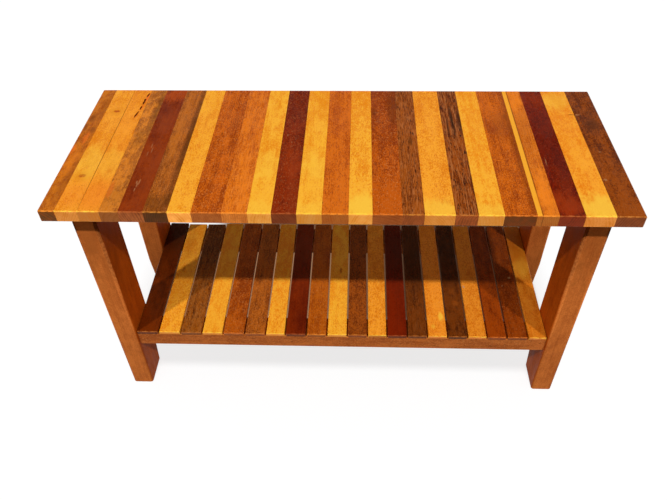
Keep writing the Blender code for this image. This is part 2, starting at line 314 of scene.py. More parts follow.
BOARD_LOOKS: tuple[StripLook, ...] = (
    StripLook(Timber.AMBER, Cut.CLOUDED, 0.85, 0.00, 0.0, 0.22, (
        smoke(-4, 75, 5, 14), smoke(-8, 50, 4, 12), smoke(6, 40, 5, 10, 0.6), rust(2, 16, 4, 14, 0.4),
        rust(-8, -18, 3, 10, 0.5), smoke(8, -90, 6, 50, 0.35), smoke(8, 110, 6, 40, 0.35),
        glow(-2, -50, 10, 30, 0.35))),
    StripLook(Timber.HONEY, Cut.FLECKED, 1.05, 0.15, 0.1, 1.25, (
        knot(2.2, 97, 4.2, 3.0), knot(-1.4, -86, 4.6, 3.4), glow(0, -48, 22, 34, 0.4),
        rust(-4, -135, 24, 24, 0.25), MarkKind.GLUE.at(16.6, 0, 0.8, 170))),
    StripLook(Timber.HONEY, Cut.CALM, 1.00, 0.20, -0.2, 0.90, (
        rust(12.8, 142, 2.2, 13, 0.8, 0.09), rust(11, 112, 1.8, 11, 0.6, 0.05),
        rust(7.4, 86, 1.2, 10, 0.4, 0.1), glow(0, -50, 20, 34, 0.3),
        rust(0, -132, 22, 26, 0.25)), pitted=True),
    StripLook(Timber.OLIVE, Cut.CLOUDED, 1.70, 0.05, 0.0, 0.80, (
        smoke(10, 100, 5, 60, 0.5), smoke(-2, 20, 6, 26, 0.35), glow(0, -50, 14, 30, 0.25),
        rust(-10, -120, 3, 14, 0.4), smoke(0, -132, 24, 30, 0.2))),
    StripLook(Timber.OXBLOOD, Cut.SMOOTH, 1.10, -0.05, 0.2, 2.00, (
        scratch(-7, -101, 0.9, 4), scratch(-3, -100, 0.8, 6), scratch(-5, -108, 0.8, 5),
        scratch(-6, -118, 0.9, 4), scratch(-6, -5, 0.7, 5, 0.3), scratch(-3, -18, 0.6, 6, 0.3),
        scratch(-8, -28, 0.6, 5, 0.25), rust(4, 152, 22, 20, 0.25))),
    StripLook(Timber.OLIVE, Cut.STREAKED, 1.15, 0.20, -0.2, 0.06, (
        smoke(15, 0, 5, 150, 0.75), glow(-6, 20, 7, 90, 0.35), smoke(-2, -152, 22, 18, 0.5))),
    StripLook(Timber.HONEY, Cut.FLECKED, 1.10, 0.10, -0.1, 1.85),
    StripLook(Timber.RUSSET, Cut.RIFT, 1.26, 0.02, 0.1, 1.20, (
        smoke(-7, 29, 1.6, 5, 0.6), glow(9, -100, 8, 60, 0.2))),
    StripLook(Timber.AMBER, Cut.STREAKED, 1.10, 0.12, 0.1, 1.65, (glow(3, -90, 7, 80, 0.3),)),
    StripLook(Timber.HONEY, Cut.CALM, 1.12, 0.05, 0.4, 1.35, PAINTED_FRONT_LIGHT),
    StripLook(Timber.OXBLOOD, Cut.FLECKED, 0.95, 0.26, 1.3, 1.15, (
        scratch(-10, 27, 0.7, 2), scratch(4, 16, 0.6, 2), scratch(-2, 7, 0.8, 1.5, 0.3),
        glow(-1, -48, 14, 34, 0.3))),
    StripLook(Timber.HONEY, Cut.CALM, 1.12, 0.05, 0.9, 1.00, PAINTED_FRONT_LIGHT),
    StripLook(Timber.AMBER, Cut.BRUSHED, 0.98, 0.20, 0.3, 1.05),
    # Painted light: the glow across the front of this board, and of boards 17 and 19 below, stands for where
    # the lamps fall most brightly.
    StripLook(Timber.HONEY, Cut.FLECKED, 1.12, 0.08, 1.3, 1.40, (glow(0, -155, 30, 26, 0.8),)),
    StripLook(Timber.RUSSET, Cut.FLAMED, 1.07, 0.12, 1.7, 1.15, (
        smoke(16, 110, 10, 60, 0.6), smoke(-17, 100, 4, 12, 0.5), scratch(-12, 96, 7, 0.7),
        scratch(-11, 68, 6, 0.6))),
    StripLook(Timber.OLIVE, Cut.COARSE, 0.88, 0.30, 0.7, 1.60, (smoke(4, 12, 3, 12, 0.6),)),
    StripLook(Timber.HONEY, Cut.FLECKED, 1.05, 0.15, 0.7, 1.15, (glow(0, -158, 30, 22, 0.6),)),
    StripLook(Timber.UMBER, Cut.COARSE, 0.94, 0.22, 0.2, 2.20, (
        stain(1.4, 72, 2.6, 40, 0.85, -0.03), stain(-7, 50, 1.4, 26, 0.7), smoke(14, 72, 3, 34, 0.8))),
    StripLook(Timber.HONEY, Cut.CALM, 1.15, 0.10, 0.3, 1.00, (glow(0, -162, 30, 18),)),
    StripLook(Timber.RUSSET, Cut.RIFT, 1.30, 0.00, 0.2, 0.22, (
        smoke(6, 62, 14, 34, 0.3), smoke(20, 0, 5, 170, 0.5))),
    StripLook(Timber.AMBER, Cut.STREAKED, 1.05, 0.08, -0.4, 1.05, (
        MarkKind.SAPWOOD.at(-12.6, 0, 4.2, 400), stain(-7.6, 0, 0.8, 300, 0.6), glow(4, -130, 10, 50, 0.6),
        smoke(5, 40, 10, 50, 0.2), glow(4, 140, 10, 36))),
    # Painted light: board 22's glows at its front and back stand for light and reflection.
    StripLook(Timber.OXBLOOD, Cut.FLECKED, 0.78, 0.60, 0.2, 1.70, (
        glow(-2, -142, 22, 26, 0.55), glow(2, -90, 12, 34, 0.2), glow(0, 140, 20, 30, 0.25),
        smoke(0, 10, 26, 90, 0.3), scratch(-13, -41, 0.6, 8))),
    # Painted light: board 23's glows at its front and back stand for light and reflection.
    StripLook(Timber.HONEY, Cut.CALM, 1.12, 0.20, 0.5, 1.20, (
        stain(16, 92.5, 5, 1.5, 0.8), glow(0, -150, 30, 26, 0.8), glow(0, 140, 24, 30, 0.4))),
    StripLook(Timber.UMBER, Cut.CALM, 0.95, 0.22, 1.0, 1.40, (
        smoke(0, 62, 11, 18, 0.6), smoke(4, 96, 10, 9, 0.3), scratch(-15.6, 92, 4.4, 1.2, 0.5),
        scratch(-5.6, -15, 2.5, 1.0), scratch(-16, -86, 2, 2))),
)

SLAT_LOOKS: tuple[StripLook, ...] = (
    # Painted shade: the dark smoke over the back of slat 1, and those over the backs of slats 2, 13, 14 and
    # 16, stand for the seat's shadow.
    StripLook(Timber.UMBER, Cut.SMOOTH, 0.48, 0.40, 0.7, 1.80, (smoke(-2, 105, 24, 44),)),
    StripLook(Timber.HONEY, Cut.FLECKED, 1.10, 0.10, 0.6, 1.10, (
        smoke(-4.5, 14, 2, 6, 0.5), smoke(-6, 90, 10, 30, 0.2))),
    StripLook(Timber.UMBER, Cut.STREAKED, 0.95, 0.00, 1.0, 1.80),
    StripLook(Timber.HONEY, Cut.CALM, 1.15, 0.10, 0.6, 1.10),
    StripLook(Timber.RUSSET, Cut.BRUSHED, 0.95, 0.05, 0.1, 1.80),
    StripLook(Timber.OLIVE, Cut.BRUSHED, 1.10, 0.22, -0.2, 1.80),
    StripLook(Timber.HONEY, Cut.FLECKED, 1.15, 0.10, 0.7, 1.20),
    StripLook(Timber.OXBLOOD, Cut.SMOOTH, 0.80, 0.20, -0.4, 1.20),
    StripLook(Timber.AMBER, Cut.BRUSHED, 0.70, 0.15, 0.4, 1.50),
    StripLook(Timber.HONEY, Cut.FLECKED, 1.15, 0.05, 0.8, 1.10, (stain(3.0, 12, 2.0, 6, 0.8),)),
    StripLook(Timber.OLIVE, Cut.FLECKED, 0.82, 0.32, -0.1, 1.80),
    StripLook(Timber.HONEY, Cut.FLECKED, 1.00, 0.15, 0.7, 0.70),
    # Painted shade: the wide smokes on slats 13 and 14 stand for the seat's shadow.
    StripLook(Timber.OXBLOOD, Cut.SMOOTH, 0.70, 0.45, 0.6, 1.20, (smoke(0, 56, 24, 78, 0.35),)),
    StripLook(Timber.UMBER, Cut.STREAKED, 0.50, 0.20, 0.8, 2.20, (smoke(0, 50, 24, 76, 0.5),)),
    StripLook(Timber.HONEY, Cut.FLECKED, 0.97, 0.25, 0.7, 1.30, (
        glow(9, -102, 4, 8, 0.8), glow(-6, -125, 4, 6))),
    # Painted shade: the wide smoke on slat 16 stands for the seat's shadow.
    StripLook(Timber.UMBER, Cut.CLOUDED, 0.47, 0.20, 1.2, 1.80, (
        glow(3, -68, 5, 6, 0.25), glow(0, -40, 6, 8, 0.15), smoke(0, 52, 24, 76, 0.5))),
    StripLook(Timber.HONEY, Cut.FLECKED, 0.85, 0.25, 0.4, 1.50, (scratch(-12, -27, 2, 2.5, 0.9),)),
    StripLook(Timber.RUSSET, Cut.CALM, 0.62, 0.25, 0.8, 1.80),
    StripLook(Timber.RUSSET, Cut.BRUSHED, 0.55, 0.20, 0.2, 1.80, (
        scratch(7.6, -2, 2.2, 2.6, 0.8), scratch(-9, -23, 1.5, 2, 0.5))),
    # Painted light and painted shade: the glow on slat 20 is the lit patch between the legs' shadows, and the
    # dark streak over its back is the seat's shadow.
    StripLook(Timber.HONEY, Cut.CALM, 0.75, 0.30, 0.8, 1.50, (
        glow(0, 24, 20, 24, 0.3), stain(2, 100, 24, 50, 0.45))),
)


# Shader sheets


class NodeSheet:
    """A shader tree, with short calls that add a node and join it up."""

    def __init__(self, tree: bpy.types.NodeTree) -> None:
        """Keep the tree to write on."""
        self.tree = tree

    def node(self, kind: str, **settings: object) -> bpy.types.Node:
        """Add a node.

        Args:
            kind: Blender's name for the node.
            settings: Properties to set on it.

        Returns:
            The new node.
        """
        made = self.tree.nodes.new(kind)
        for name, value in settings.items():
            setattr(made, name, value)
        return made

    def feed(self, socket: Socket, value: Feed) -> None:
        """Join a socket to another, or set its value.

        Args:
            socket: The input to fill.
            value: An output socket, a number or a colour.
        """
        if isinstance(value, Socket):
            self.tree.links.new(value, socket)
        elif isinstance(value, (int, float)):
            socket.default_value = value
        else:
            wanted = len(socket.default_value)
            socket.default_value = (tuple(value) + (1.0,))[:wanted]

    def filled(self, made: bpy.types.Node, values: Mapping[int | str, Feed], out: int | str = 0) -> Socket:
        """Fill a node's inputs and return one of its outputs.

        Args:
            made: The node.
            values: Each input's place or name, with its value.
            out: The output's place or name.

        Returns:
            The output.
        """
        for place, value in values.items():
            self.feed(made.inputs[place], value)
        return made.outputs[out]

    def maths(self, operation: str, *values: Feed, clamp: bool = False) -> Socket:
        """Return the answer of a maths operation, kept between 0 and 1 if clamp is set."""
        made = self.node("ShaderNodeMath", operation=operation, use_clamp=clamp)
        return self.filled(made, dict(enumerate(values)))

    def times(self, first: Feed, second: Feed) -> Socket:
        """Return the product of two numbers."""
        return self.maths("MULTIPLY", first, second)

    def plus(self, first: Feed, second: Feed) -> Socket:
        """Return the sum of two numbers."""
        return self.maths("ADD", first, second)

    def minus(self, first: Feed, second: Feed) -> Socket:
        """Return the first number less the second."""
        return self.maths("SUBTRACT", first, second)

    def times_plus(self, first: Feed, second: Feed, third: Feed) -> Socket:
        """Return the product of two numbers, plus a third."""
        return self.maths("MULTIPLY_ADD", first, second, third)

    def vectors(self, operation: str, *values: Feed) -> Socket:
        """Return the answer of a vector operation: a number for a length, and a vector otherwise."""
        made = self.node("ShaderNodeVectorMath", operation=operation)
        return self.filled(made, dict(enumerate(values)), "Value" if operation == "LENGTH" else "Vector")

    def ease(self, value: Feed, start: Feed, stop: Feed, low: Feed = 0.0, high: Feed = 1.0) -> Socket:
        """Turn the range from start to stop into low to high, with soft ends."""
        made = self.node("ShaderNodeMapRange", interpolation_type="SMOOTHSTEP")
        return self.filled(made, dict(enumerate((value, start, stop, low, high))))

    def blend(self, share: Feed, first: Feed, second: Feed, way: str = "MIX") -> Socket:
        """Mix two colours, with a share of the second one from 0 to 1."""
        made = self.node("ShaderNodeMix", data_type="RGBA", blend_type=way)
        return self.filled(made, {0: share, 6: first, 7: second}, 2)

    def noise(self, place: Feed, stretch_mm: Triple, detail: float = 2.0, rough: float = 0.5) -> Socket:
        """Add noise whose grains have a given size.

        Args:
            place: The point, in millimetres.
            stretch_mm: The size of a grain on each axis.
            detail: How many finer layers are added.
            rough: How strong the finer layers are.

        Returns:
            The noise from 0 to 1.
        """
        point = self.vectors("MULTIPLY", place, [1.0 / size for size in stretch_mm])
        made = self.node("ShaderNodeTexNoise")
        return self.filled(made, {"Vector": point, "Scale": 1.0, "Detail": detail, "Roughness": rough})

    def bump(self, height: Feed, distance: float, strength: float = 1.0, over: Feed | None = None) -> Socket:
        """Add a bump.

        Args:
            height: The height of each point.
            distance: How far the highest stands out, in metres.
            strength: How strongly it shows.
            over: The bump that it lies on.

        Returns:
            The way that the bumped surface faces.
        """
        values = {"Height": height, "Distance": distance, "Strength": strength}
        if over is not None:
            values["Normal"] = over
        return self.filled(self.node("ShaderNodeBump"), values)

    def split(self, vector: Feed) -> list[Socket]:
        """Split a vector.

        Args:
            vector: The vector.

        Returns:
            Its three parts.
        """
        made = self.node("ShaderNodeSeparateXYZ")
        self.feed(made.inputs[0], vector)
        return list(made.outputs)

    def join(self, parts: Sequence[Feed]) -> Socket:
        """Return a vector made of three numbers."""
        return self.filled(self.node("ShaderNodeCombineXYZ"), dict(enumerate(parts)))

    def swing(self, share: Socket, gain: float) -> Socket:
        """Return a noise as a swing about zero, times a gain."""
        return self.times(self.minus(share, 0.5), gain)

    def from_middle(self, point: Socket, middle: Vector) -> Socket:
        """Return a point's place from a middle, in millimetres."""
        return self.vectors("MULTIPLY", self.vectors("SUBTRACT", point, middle), (MM, MM, MM))


def start_material(name: str) -> tuple[Material, NodeSheet, bpy.types.Node]:
    """Start a material.

    Args:
        name: Its name.

    Returns:
        The material, its sheet and its shader node.
    """
    material = bpy.data.materials.new(name)
    material.use_nodes = True
    tree = material.node_tree
    return material, NodeSheet(tree), tree.nodes["Principled BSDF"]


@dataclass
class TimberFigure:
    """The shared node group that draws solid timber: rings, ribbons, fibres, flecks, clouds and end grain.

    Its grain runs along the second axis, and its lengths are millimetres. grains holds each noise's
    grain size, its finer layers and their strength, and swings says how each moves the tone. An _edge
    is where a noise starts to show and where it shows in full.
    """

    grains: tuple[tuple[str, Grain], ...] = (
        ("wobble", ((60, 240, 60), 1.0, 0.5)),
        ("ripple", ((9, 70, 9), 2.0, 0.5)),
        ("fibre", ((0.9, 70, 0.9), 2.0, 0.6)),
        ("ribbon", ((5, 190, 5), 2.0, 0.55)),
        ("cloud", ((13, 30, 13), 3.0, 0.6)),
        ("haze", ((34, 110, 34), 1.0, 0.5)),
        ("mottle", ((10, 16, 10), 2.0, 0.6)),
        ("speckle", ((1.8, 3.2, 1.8), 2.0, 0.6)),
        ("spark", ((1.7, 2.4, 1.7), 1.0, 0.5)),
        ("speck", ((0.5, 30, 0.5), 1.0, 0.5)),
    )
    sized_grains: tuple[tuple[str, Grain], ...] = (
        ("fleck", ((0.65, 6.5, 0.65), 1.0, 0.5)),
        ("strand", ((0.60, 11.0, 0.60), 1.0, 0.5)),
    )
    swings: tuple[tuple[str, str, float], ...] = (
        ("fibre", "fibres", 1.6), ("ribbon", "ribbons", 2.0), ("cloud", "clouds", 2.2),
        ("haze", "clouds", 2.0), ("mottle", "mottle", 2.4), ("speckle", "speckle", 3.6),
    )
    wobble_across_mm: float = 26.0
    wobble_down_mm: float = 18.0
    ripple_mm: float = 3.0
    late_rise: Span = (0.15, 0.86)
    late_fall: Span = (1.0, 0.88)
    year_step: float = 0.41
    year_spread: Ramp = (0.25, 0.75, 0.35, 1.3)
    strand_edge: Span = (0.52, 0.62)
    spark_edge: Span = (0.58, 0.70)
    fleck_edge: Span = (0.60, 0.72)
    fleck_patches: Ramp = (0.30, 0.65, 0.3, 1.0)
    strip_length_mm: float = 340.0
    end_turn: Span = (0.55, 0.93)
    end_rings: float = 0.55
    end_clouds: float = 0.45
    end_cloud_edge: Span = (0.35, 0.65)
    end_dark: float = 0.75
    speck_edge: Ramp = (0.56, 0.70, 0.0, 0.8)
    # Painted shade at the bottom of the end grain: how far it rises and how dark it is.
    foot_fall_mm: float = 2.2
    foot_dark: float = 0.55
    fleck_depth: float = 0.8
    fibre_height: float = 0.35
    late_height: float = 0.12
    numbers: tuple[str, ...] = (*(part.name for part in fields(CutFigure)), "bias", "fade", "dark_below_mm")
    colours: tuple[str, ...] = ("pale", "dark", "pore", "end", "strand")
    outputs: tuple[str, ...] = ("colour", "tone", "fleck", "height", "end_share", "cloud")
    group: bpy.types.NodeTree = field(init=False)

    def __post_init__(self) -> None:
        """Draw the group once."""
        self.group = bpy.data.node_groups.new("solid_timber", "ShaderNodeTree")
        face = self.group.interface
        kinds = (
            ("INPUT", "NodeSocketVector", ("local", "facing", "offset")),
            ("INPUT", "NodeSocketFloat", self.numbers),
            ("INPUT", "NodeSocketColor", self.colours),
            ("OUTPUT", "NodeSocketColor", self.outputs[:1]),
            ("OUTPUT", "NodeSocketFloat", self.outputs[1:]),
        )
        for way, kind, names in kinds:
            for name in names:
                face.new_socket(name, in_out=way, socket_type=kind)
        self._draw()

    def _draw(self) -> None:
        """Draw the figure's nodes."""
        sheet = NodeSheet(self.group)
        given = sheet.node("NodeGroupInput").outputs
        solid = sheet.vectors("ADD", given["local"], given["offset"])
        size = given["fleck_size"]
        sized = sheet.vectors("DIVIDE", solid, sheet.join((size, size, size)))
        noise = {name: sheet.noise(solid, *grain) for name, grain in self.grains}
        noise.update((name, sheet.noise(sized, *grain)) for name, grain in self.sized_grains)
        _, along, up = sheet.split(given["local"])
        late = self._late_wood(sheet, given, noise)

        tone = sheet.times(late, given["rings"])
        for part, share, gain in self.swings:
            tone = sheet.times_plus(sheet.swing(noise[part], gain), given[share], tone)
        # Painted shade: the tone darkens along the grain towards the back, as the light falls off; below zero
        # it lightens instead.
        slope = sheet.times(sheet.maths("DIVIDE", along, self.strip_length_mm), given["fade"])
        tone = sheet.maths("ADD", sheet.plus(tone, slope), given["bias"], clamp=True)

        strand = sheet.ease(noise["strand"], *self.strand_edge)
        spark = sheet.ease(noise["spark"], *self.spark_edge)
        patches = sheet.ease(noise["cloud"], *self.fleck_patches)
        fleck = sheet.times(sheet.ease(noise["fleck"], *self.fleck_edge), patches)
        colour = sheet.blend(tone, given["pale"], given["dark"])
        colour = sheet.blend(sheet.times(strand, given["strands"]), colour, given["strand"])
        colour = sheet.blend(sheet.times(spark, given["sparks"]), colour, given["strand"])
        colour = sheet.blend(sheet.times(fleck, given["flecks"]), colour, given["pore"])

        facing = sheet.vectors("ABSOLUTE", given["facing"])
        end_share = sheet.ease(sheet.split(facing)[1], *self.end_turn)
        end_cloud = sheet.times(sheet.ease(noise["cloud"], *self.end_cloud_edge), self.end_clouds)
        end_tone = sheet.times_plus(late, self.end_rings, end_cloud)
        end_tone = sheet.maths("MULTIPLY", end_tone, self.end_dark, clamp=True)
        end_colour = sheet.blend(end_tone, given["end"], given["dark"])
        end_colour = sheet.blend(sheet.ease(noise["speck"], *self.speck_edge), end_colour, given["pore"])
        # Painted shade: the bottom of the end grain is drawn darker, as the shadow under an overhang.
        shaded_foot = sheet.minus(given["dark_below_mm"], self.foot_fall_mm)
        shaded_foot = sheet.ease(up, given["dark_below_mm"], shaded_foot, 0.0, self.foot_dark)
        end_colour = sheet.blend(shaded_foot, end_colour, given["pore"])
        colour = sheet.blend(end_share, colour, end_colour)

        height = sheet.times(noise["fibre"], self.fibre_height)
        height = sheet.times_plus(fleck, -self.fleck_depth, height)
        height = sheet.times_plus(late, self.late_height, height)
        told = sheet.node("NodeGroupOutput").inputs
        drawn = (colour, tone, fleck, height, end_share, noise["cloud"])
        for name, socket in zip(self.outputs, drawn):
            sheet.feed(told[name], socket)

    def _late_wood(self, sheet: NodeSheet, given: Outputs, noise: Mapping[str, Socket]) -> Socket:
        """Draw the dark late wood of the rings.

        Args:
            sheet: The group's sheet.
            given: The group's inputs.
            noise: The figure's noises by name.

        Returns:
            How far a point is late wood.
        """
        across, along, up = sheet.split(given["local"])
        wobble = sheet.minus(noise["wobble"], 0.5)
        ring_x = sheet.minus(across, given["pith_across_mm"])
        ring_x = sheet.times_plus(wobble, self.wobble_across_mm, ring_x)
        lean = sheet.times(along, given["pith_lean"])
        ring_z = sheet.plus(sheet.plus(up, given["pith_down_mm"]), lean)
        ring_z = sheet.times_plus(wobble, -self.wobble_down_mm, ring_z)
        radius = sheet.vectors("LENGTH", sheet.join((ring_x, 0.0, ring_z)))
        radius = sheet.times_plus(sheet.minus(noise["ripple"], 0.5), self.ripple_mm, radius)
        turns = sheet.maths("DIVIDE", radius, given["ring_gap_mm"])
        saw = sheet.maths("FRACT", turns)
        late = sheet.times(sheet.ease(saw, *self.late_rise), sheet.ease(saw, *self.late_fall))
        year = sheet.node("ShaderNodeTexNoise", noise_dimensions="1D")
        year = sheet.filled(year, {"W": sheet.times(turns, self.year_step), "Scale": 1.0})
        return sheet.times(late, sheet.ease(year, *self.year_spread))


@dataclass(frozen=True)
class Varnish:
    """The clear coat over a timber.

    gloss is its roughness and shine its strength. rub is how far the arrises are drawn pale: rubbed
    varnish and a painted highlight. side_depth is painted shade: how much deeper and redder the faces
    across the grain's first axis are drawn, as where the legs shade each other. The bottom of the end
    grain is drawn darker below dark_below_mm, measured up from the middle, as painted shade under an
    overhang.
    """

    gloss: float = 0.26
    shine: float = 0.28
    tint: Colour = (1.0, 0.66, 0.16)
    rub: float = 0.8
    side_depth: float = 0.0
    dark_below_mm: float = -9.0
    pore_depth: float = 0.00005
    peel_depth: float = 0.00006


@dataclass
class TimberMaker:
    """Writes the material of a strip, a leg or a rail from its look.

    A _dull is what a part of the figure adds to the varnish's roughness, and a _turn is how far a
    surface has to face a way before something starts to show on it and shows in full.
    """

    figure: TimberFigure = field(default_factory=TimberFigure)
    seed_steps_mm: Triple = (137.0, 411.0, 59.0)
    bias: float = 0.36
    refraction: float = 1.5
    # Painted shade on the faces across the grain's first axis: where it starts to show, and its tint.
    side_turn: Span = (0.6, 0.95)
    side_tint: Colour = (0.76, 0.45, 0.05)
    smear: Grain = ((22, 60, 22), 3.0, 0.6)
    smear_edge: Span = (0.30, 0.70)
    smear_dull: Span = (-0.05, 0.09)
    fleck_dull: float = 0.16
    end_dull: float = 0.14
    wear_dull: float = 0.25
    peel: Grain = ((3.2, 4.5, 3.2), 2.0, 0.5)
    peel_strength: float = 0.7
    pore_strength: float = 0.8
    pit_top_mm: Span = (0.15, 0.6)
    pit_end_mm: Span = (4.0, 6.0)
    pit_gains: Triple = (0.18, 0.08, 0.3)
    # These numbers draw the arrises paler: rubbed varnish and a painted highlight.
    rub_side: float = 0.35
    rub_turn: Span = (0.18, 0.46)
    rub_breaks: Grain = ((3.5, 6.0, 6.0), 2.0, 0.6)
    rub_break_edge: Ramp = (0.38, 0.62, 0.15, 1.0)
    rub_gain: float = 1.35
    rub_more: Colour = (0.05, 0.04, 0.02)

    def write(
        self, node: str, look: StripLook, box: Box, run: GrainRun, varnish: Varnish, seed: int,
    ) -> Material:
        """Write the material of one piece.

        Args:
            node: The node that it is for.
            look: What the timber is like.
            box: The lowest and highest corner of the piece.
            run: The way its grain runs.
            varnish: The coat over it.
            seed: The number that sets where in the figure it was cut.

        Returns:
            The material.
        """
        material, sheet, shader = start_material(f"{look.timber.value}_{node}")
        finish = TIMBERS[look.timber]
        seen = sheet.node("ShaderNodeTexCoord").outputs
        local = self._turned(sheet, sheet.from_middle(seen["Object"], (box[0] + box[1]) / 2), run)
        facing = self._turned(sheet, seen["Normal"], run)
        feeds = self._numbers(look, finish, varnish, seed)
        feeds.update(local=local, facing=facing)
        figure = sheet.node("ShaderNodeGroup", node_tree=self.figure.group)
        sheet.filled(figure, feeds)
        drawn = figure.outputs

        colour = drawn["colour"]
        wear = 0.0
        for mark in look.marks:
            for layer in mark.layers:
                colour, wear = self._marked(sheet, layer, local, drawn, colour, wear, finish)
        if look.pitted:
            colour = self._pitted(sheet, local, colour, box, finish)
        colour = self._worn(sheet, facing, local, colour, finish, varnish)
        # Painted shade: the faces across the grain's first axis are drawn deeper and redder, as the shaded
        # faces between the legs.
        if varnish.side_depth:
            shaded_sideways = sheet.maths("ABSOLUTE", sheet.split(facing)[0])
            shaded_sideways = sheet.ease(shaded_sideways, *self.side_turn, 0.0, varnish.side_depth)
            colour = sheet.blend(shaded_sideways, colour, self.side_tint, "MULTIPLY")

        dull = [varnish.gloss + more for more in self.smear_dull]
        rough = sheet.ease(sheet.noise(local, *self.smear), *self.smear_edge, *dull)
        rough = sheet.times_plus(drawn["fleck"], self.fleck_dull, rough)
        rough = sheet.times_plus(drawn["end_share"], self.end_dull, rough)
        rough = sheet.maths("MULTIPLY_ADD", wear, self.wear_dull, rough, clamp=True)
        ripple = sheet.bump(sheet.noise(local, *self.peel), varnish.peel_depth, self.peel_strength)
        pores = sheet.bump(drawn["height"], varnish.pore_depth, self.pore_strength, ripple)
        sheet.filled(shader, {
            "Base Color": colour, "Roughness": rough, "Normal": pores, "IOR": self.refraction,
            "Specular IOR Level": varnish.shine, "Specular Tint": varnish.tint,
        })
        return material

    def _numbers(self, look: StripLook, finish: TimberFinish, varnish: Varnish, seed: int) -> dict[str, Feed]:
        """Work out the figure's numbers and colours.

        Args:
            look: The strip's look.
            finish: The timber's colours.
            varnish: The coat.
            seed: The strip's seed, which sets the side of its pith and its place in the figure.

        Returns:
            The values of the figure's inputs by name.
        """
        side = -1.0 if seed % 2 else 1.0
        cut = CUTS[look.cut]
        cut = replace(cut, pith_across_mm=side * cut.pith_across_mm, pith_lean=side * cut.pith_lean)
        numbers = (*astuple(cut), self.bias, look.fade, varnish.dark_below_mm)
        feeds = dict(zip(self.figure.numbers, numbers))
        for part in self.figure.colours:
            feeds[part] = self._shaded(getattr(finish, part), look)
        feeds["end"] = tuple(part * look.end_shade for part in feeds["end"])
        feeds["offset"] = tuple(seed * step for step in self.seed_steps_mm)
        return feeds

    @staticmethod
    def _turned(sheet: NodeSheet, vector: Socket, run: GrainRun) -> Socket:
        """Return a vector whose second axis is the grain's."""
        parts = sheet.split(vector)
        return sheet.join([parts[axis] for axis in run.value])

    @staticmethod
    def _shaded(colour: Colour, look: StripLook) -> Colour:
        """Return a timber's colour with a strip's shade and warmth."""
        red, green, blue = (part * look.shade for part in colour)
        return min(red, BRIGHTEST), green * (1.0 - look.warmth), blue * (1.0 - look.warmth)

    @staticmethod
    def _reach(sheet: NodeSheet, mark: Mark, local: Socket, ragged: Feed, soft: float) -> Socket:
        """Return how much of a mark covers a point.

        Args:
            sheet: The sheet to draw on.
            mark: The mark.
            local: The point from the strip's middle.
            ragged: A number that moves the mark's edge.
            soft: How wide the edge is, as a share of the mark.

        Returns:
            The cover, from 0 to 1.
        """
        moved = sheet.vectors("SUBTRACT", local, (mark.across_mm, mark.along_mm, 0.0))
        across, along, _ = sheet.split(moved)
        across = sheet.times_plus(along, -mark.lean, across)
        across = sheet.maths("DIVIDE", across, mark.width_mm)
        along = sheet.maths("DIVIDE", along, mark.length_mm)
        far = sheet.plus(sheet.vectors("LENGTH", sheet.join((across, along, 0.0))), ragged)
        return sheet.ease(far, 1.0 + soft, 1.0 - soft, 0.0, mark.strength)

    def _marked(
        self, sheet: NodeSheet, mark: Mark, local: Socket, drawn: Outputs, colour: Feed, wear: Feed,
        finish: TimberFinish,
    ) -> tuple[Feed, Feed]:
        """Lay one mark over a timber.

        Args:
            sheet: The sheet to draw on.
            mark: The mark.
            local: The point from the strip's middle.
            drawn: The figure's outputs.
            colour: The colour under the mark.
            wear: The wear of the varnish so far.
            finish: The timber's colours.

        Returns:
            The colour and the wear with the mark.
        """
        style = MARK_STYLES[mark.kind]
        breaker, gain = style.edge.value
        ragged = sheet.swing(drawn[breaker], gain) if breaker else 0.0
        cover = self._reach(sheet, mark, local, ragged, style.soft)
        if style.off_end:
            cover = sheet.times(cover, sheet.minus(1.0, drawn["end_share"]))
        if mark.kind is MarkKind.SCRATCH:
            wear = sheet.plus(wear, cover)
        base = getattr(finish, style.base) if style.base else WHITE
        return sheet.blend(cover, colour, scaled(base, style.gains)), wear

    def _pitted(
        self, sheet: NodeSheet, local: Socket, colour: Feed, box: Box, finish: TimberFinish,
    ) -> Socket:
        """Darken the walls of a crack that goes below the top face.

        Args:
            sheet: The sheet to draw on.
            local: The point from the strip's middle.
            colour: The colour so far.
            box: The strip's corners.
            finish: The timber's colours.

        Returns:
            The colour with dark walls.
        """
        half = (box[1] - box[0]) / 2 * MM
        _, along, up = sheet.split(local)
        below = sheet.ease(up, *(half.z - down for down in self.pit_top_mm))
        inside = sheet.ease(sheet.maths("ABSOLUTE", along), *(half.y - back for back in self.pit_end_mm))
        return sheet.blend(sheet.times(below, inside), colour, scaled(finish.pore, self.pit_gains))

    def _worn(
        self, sheet: NodeSheet, facing: Feed, local: Feed, colour: Feed, finish: TimberFinish,
        varnish: Varnish,
    ) -> Socket:
        """Lighten the rounded arrises: rubbed, thin varnish and a painted highlight along them.

        Args:
            sheet: The sheet to draw on.
            facing: The direction that the surface faces.
            local: The point from the strip's middle.
            colour: The colour so far.
            finish: The timber's colours.
            varnish: The coat, which says how far they are rubbed and highlit.

        Returns:
            The colour with rubbed, highlit arrises.
        """
        across, along, up = sheet.split(sheet.vectors("ABSOLUTE", facing))
        turned = sheet.times_plus(sheet.times(across, up), self.rub_side, sheet.times(along, up))
        turned = sheet.plus(turned, sheet.times(across, along))
        broken = sheet.ease(sheet.noise(local, *self.rub_breaks), *self.rub_break_edge)
        share = sheet.times(sheet.ease(turned, *self.rub_turn, 0.0, varnish.rub), broken)
        paler = zip(finish.pale, self.rub_more)
        rubbed_and_highlit = tuple(min(part * self.rub_gain + more, BRIGHTEST) for part, more in paler)
        return sheet.blend(share, colour, rubbed_and_highlit)


